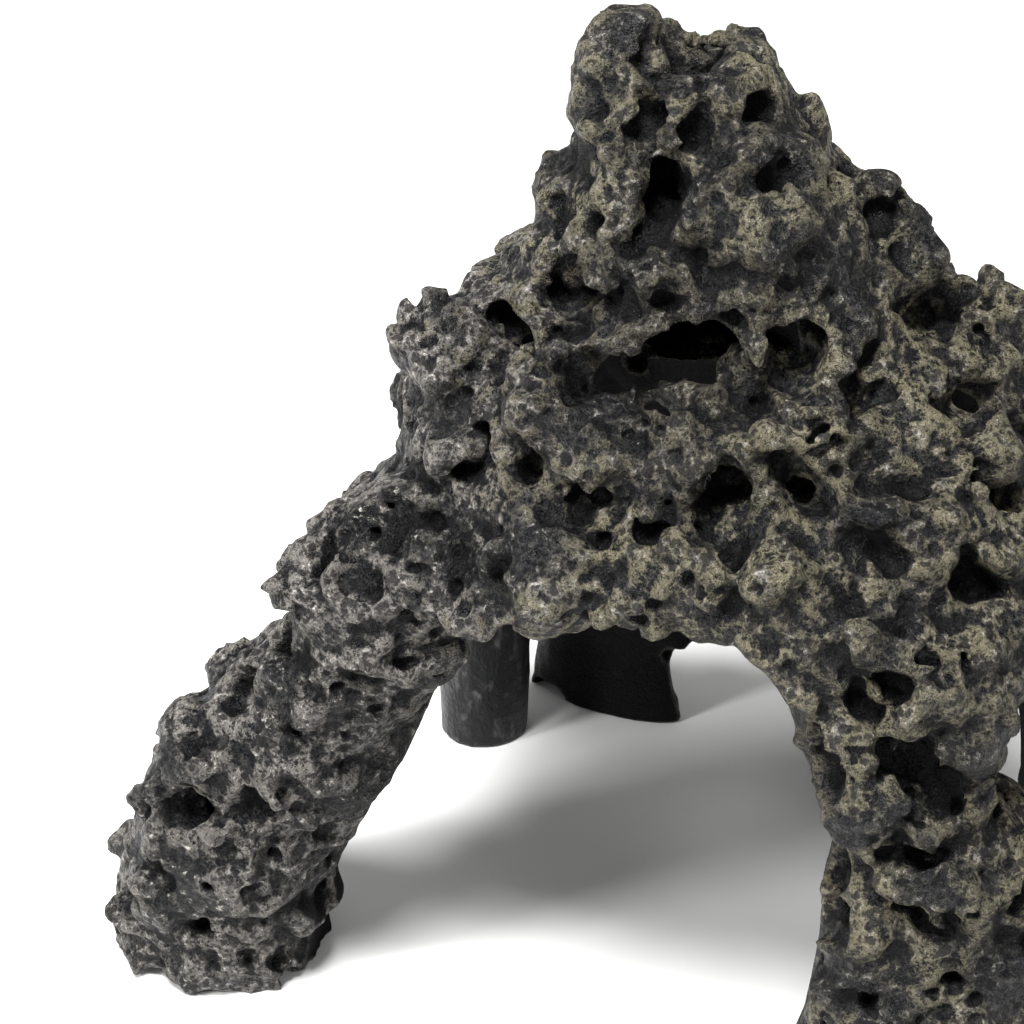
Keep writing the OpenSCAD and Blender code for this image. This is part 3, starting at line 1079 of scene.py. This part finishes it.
# %% Patterns and colours
lava = Recipe("lava_paint")
wide = lava.stored("crowding_wide")
fine = lava.stored("crowding_fine")
outer = lava.stored("outside")
deep = lava.stored("crowding_for_deep_shade")
patches = lava.clouds(26 * mm, 4)
mottle = lava.clouds(6 * mm, 4, 0.65)
sand = lava.step(lava.clouds(2.2 * mm, 4, 0.65), 0.36, 0.64)
dust = lava.step(lava.clouds(0.9 * mm, 3, 0.7), 0.34, 0.66)
grit = lava.maths("MULTIPLY_ADD", sand, 0.62, lava.maths("MULTIPLY", dust, 0.38))
resin_grey = (0.030, 0.029, 0.027, 1)
# Blue-black of the wash, also used for painted shade
wash_and_shade_black = (0.0010, 0.0011, 0.0015, 1)
slate = (0.0085, 0.0095, 0.0125, 1)
khaki = (0.145, 0.131, 0.087, 1)
stone_grey = (0.165, 0.155, 0.141, 1)
bone = (0.50, 0.47, 0.43, 1)
print("patterns: patches, mottle, sand, dust and grit")

# %% [markdown]
# ## Dry brush
# A brush with little paint only touches what stands out, so khaki goes where the crowding is low. It
# turns greyer to the left. It is kept out of deep holes, where shade falls too, and it is thinned
# round the cave mouth as painted shade of the recess.

# %% Dry brush
position = lava.tree.nodes.new("ShaderNodeSeparateXYZ")
lava.feed(position.inputs[0], lava.place)
leftness = lava.step(position.outputs["X"], 0 * mm, -100 * mm)
jitter = lava.maths("MULTIPLY", lava.maths("SUBTRACT", grit, 0.5), -0.15)
jitter = lava.maths("MULTIPLY_ADD", lava.maths("SUBTRACT", mottle, 0.5), -0.24, jitter)
brushed = lava.step(lava.maths("ADD", fine, jitter), 0.54, 0.43)
brushed = lava.maths("MULTIPLY", brushed, lava.step(patches, 0.36, 0.56))
# No brush in deep holes: dry brush and painted shade
brushed = lava.maths("MULTIPLY", brushed, lava.step(deep, 0.64, 0.50))
brushed = lava.maths("MULTIPLY", brushed, lava.maths("MULTIPLY_ADD", outer, 0.93, 0.07))
# Painted shade: the brush thins out round the cave mouth, so that its recess is darker
from_mouth = lava.tree.nodes.new("ShaderNodeVectorMath")
from_mouth.operation = "DISTANCE"
lava.feed(from_mouth.inputs[0], lava.place)
from_mouth.inputs[1].default_value = (-6 * mm, -58 * mm, 232 * mm)
clear_of_mouth_shade = lava.step(from_mouth.outputs["Value"], 18 * mm, 48 * mm)
brushed = lava.maths("MULTIPLY", brushed, lava.maths("MULTIPLY_ADD", clear_of_mouth_shade, 0.62, 0.38))
greyness = lava.step(lava.maths("MULTIPLY_ADD", leftness, 0.28, mottle), 0.50, 0.70)
top_coat = lava.mix(greyness, khaki, stone_grey)
colour = lava.mix(sand, slate, resin_grey)
colour = lava.mix(brushed, colour, top_coat)
print("brushed: khaki to the right, grey to the left")

# %% [markdown]
# ## Pale specks
# Where the grain is highest the brush left dots of bone white, most of them on the left.

# %% Pale specks
specks = lava.maths("MULTIPLY", lava.step(grit, 0.66, 0.86), lava.step(fine, 0.54, 0.45))
specks = lava.maths("MULTIPLY", specks, lava.step(mottle, 0.44, 0.60))
specks = lava.maths("MULTIPLY", specks, lava.maths("MULTIPLY_ADD", leftness, 0.55, 0.35))
specks = lava.maths("MULTIPLY", specks, outer)
colour = lava.mix(specks, colour, bone)
print("specks of bone white")

# %% [markdown]
# ## Wash and painted shade
# A thin blue-black wash gathers in hollows and pores, and the same blue-black darkens them as
# painted shade. It fills the recess of the mouth with a ragged edge, as thicker wash and painted
# shade, and covers all of the inner side as painted shade.

# %% Wash and painted shade
crowd = lava.maths("MULTIPLY_ADD", lava.maths("SUBTRACT", grit, 0.5), -0.06, wide)
crowd = lava.maths("MULTIPLY_ADD", lava.maths("SUBTRACT", mottle, 0.5), 0.16, crowd)
# Wash and painted shade in hollows: the more rock round a point, the darker
wash_and_shade_mask = lava.maths("MAXIMUM", lava.step(crowd, 0.50, 0.585), lava.step(deep, 0.55, 0.66))
ragged = lava.step(mottle, 0.3, 0.7)
pores = lava.step(lava.maths("SUBTRACT", ragged, lava.cells(2.7 * mm)), 0.15, 0.38)
specked = lava.maths("MAXIMUM", pores, lava.step(grit, 0.40, 0.22))
specked = lava.maths("MULTIPLY", lava.maths("MULTIPLY", specked, 0.85), outer)
wash_and_shade_mask = lava.maths("MAXIMUM", wash_and_shade_mask, specked)
# Thicker wash and painted shade in the recess of the cave mouth, with a ragged edge
ragged_edge = lava.maths("MULTIPLY_ADD", mottle, 30 * mm, from_mouth.outputs["Value"])
recess = lava.step(ragged_edge, 52 * mm, 38 * mm)
recess = lava.maths("MULTIPLY", recess, lava.step(wide, 0.42, 0.49))
wash_and_shade_mask = lava.maths("MAXIMUM", wash_and_shade_mask, recess)
# Painted shade over all of the inner side
inner = lava.maths("SUBTRACT", 1, outer)
wash_and_shade_mask = lava.maths("MAXIMUM", wash_and_shade_mask, inner)
colour = lava.mix(lava.maths("MULTIPLY", wash_and_shade_mask, 0.96), colour, wash_and_shade_black)
lava.feed(lava.shader.inputs["Base Color"], colour)
print("wash in hollows, pores, mouth and inner side")

# %% [markdown]
# ## Varnish and grain
# The varnish lies unevenly, so the gloss changes with the mottling, and the inner side has none.
# Pores, sand and dust give the finest relief, which is too small for the mesh.

# %% Varnish and grain
gloss = lava.maths("MULTIPLY_ADD", lava.step(mottle, 0.35, 0.65), 0.30, 0.24)
gloss = lava.maths("MAXIMUM", gloss, lava.maths("MULTIPLY", inner, 0.85))
lava.feed(lava.shader.inputs["Roughness"], gloss)
skin = lava.height(lava.step(pores, 1, 0), 0.5 * mm)
skin = lava.height(sand, 1.3 * mm, skin)
skin = lava.height(dust, 0.5 * mm, skin)
lava.feed(lava.shader.inputs["Normal"], skin)
lava.shader.inputs["Specular IOR Level"].default_value = 0.2
print("lava_paint:", len(lava.tree.nodes), "nodes")

# %% [markdown]
# ## Paint of the plain column
# The column only got the wash. It ran down in streaks and left some grey resin bare between them.
# Where the rock crowds round the column it is darkened further, as painted shade.

# %% Column paint
plug_black = (0.009, 0.0092, 0.0098, 1)
plug_grey = (0.085, 0.084, 0.080, 1)
plug_painted_shade = (0.008, 0.0085, 0.0095, 1)
smooth = Recipe("column_paint")
stretched = smooth.tree.nodes.new("ShaderNodeMapping")
stretched.inputs["Scale"].default_value = (1, 1, 0.6)
smooth.feed(stretched.inputs["Vector"], smooth.place)
smooth.place = stretched.outputs["Vector"]
streaks = smooth.clouds(5 * mm, 4)
specks = smooth.clouds(1.2 * mm, 2)
colour = smooth.mix(smooth.step(streaks, 0.52, 0.75), plug_black, plug_grey)
# Painted shade where the rock crowds round the column
crowd = smooth.step(smooth.stored("crowding_wide"), 0.55, 0.66)
colour = smooth.mix(crowd, colour, plug_painted_shade)
smooth.feed(smooth.shader.inputs["Base Color"], colour)
gloss = smooth.maths("MULTIPLY_ADD", streaks, 0.3, 0.25)
smooth.feed(smooth.shader.inputs["Roughness"], gloss)
smooth.shader.inputs["Specular IOR Level"].default_value = 0.2
skin = smooth.height(streaks, 1.2 * mm)
smooth.feed(smooth.shader.inputs["Normal"], smooth.height(specks, 0.35 * mm, skin))
print("column_paint:", len(smooth.tree.nodes), "nodes")

# %% [markdown]
# ## Epoxy and rods
# Nobody sees these once the rock is glued, but they are real pieces. Set epoxy is a cloudy amber,
# and the glass rods are pale, with strands along their length.

# %% Epoxy and rod
glue = Recipe("set_epoxy")
blotches = glue.clouds(6 * mm)
tint = glue.mix(blotches, (0.36, 0.31, 0.22, 1), (0.50, 0.45, 0.34, 1))
glue.feed(glue.shader.inputs["Base Color"], tint)
glue.feed(glue.shader.inputs["Roughness"], glue.maths("MULTIPLY_ADD", blotches, 0.25, 0.3))
glue.feed(glue.shader.inputs["Normal"], glue.height(glue.clouds(2 * mm), 0.2 * mm))
rod = Recipe("glass_rod")
threads = rod.tree.nodes.new("ShaderNodeMapping")
threads.inputs["Scale"].default_value = (1, 0.15, 0.15)
rod.feed(threads.inputs["Vector"], rod.place)
rod.place = threads.outputs["Vector"]
strands = rod.clouds(0.6 * mm)
rod.feed(rod.shader.inputs["Base Color"], rod.mix(strands, (0.62, 0.60, 0.47, 1), (0.80, 0.79, 0.70, 1)))
rod.feed(rod.shader.inputs["Roughness"], rod.maths("MULTIPLY_ADD", strands, 0.2, 0.45))
rod.feed(rod.shader.inputs["Normal"], rod.height(strands, 0.1 * mm))
print("set_epoxy and glass_rod")

# %% [markdown]
# ## Handing the pieces over
# Each carved piece stands for its casting in the frame and rides on it. The epoxy cups and the
# rods already have their true shape in the frame, so those stay and only get their finish.

# %% Hand over
stands_for = {crust: leg for leg, crust in crust_of.items()}
for casting in castings:
    stands_for[casting.replace("_casting", "_crust")] = casting
for name, piece in pieces.items():
    plain_leg = name == crust_of[column]
    piece.data.materials.clear()
    piece.data.materials.append(smooth.material if plain_leg else lava.material)
    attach(piece, "root")
    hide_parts(stands_for[name])
for name in fillers:
    data = nodes[name].data
    finish = glue if name.endswith("_bond") else rod
    data.materials.clear()
    data.materials.append(finish.material)
print(len(pieces), "carved pieces and", len(fillers), "from the frame")
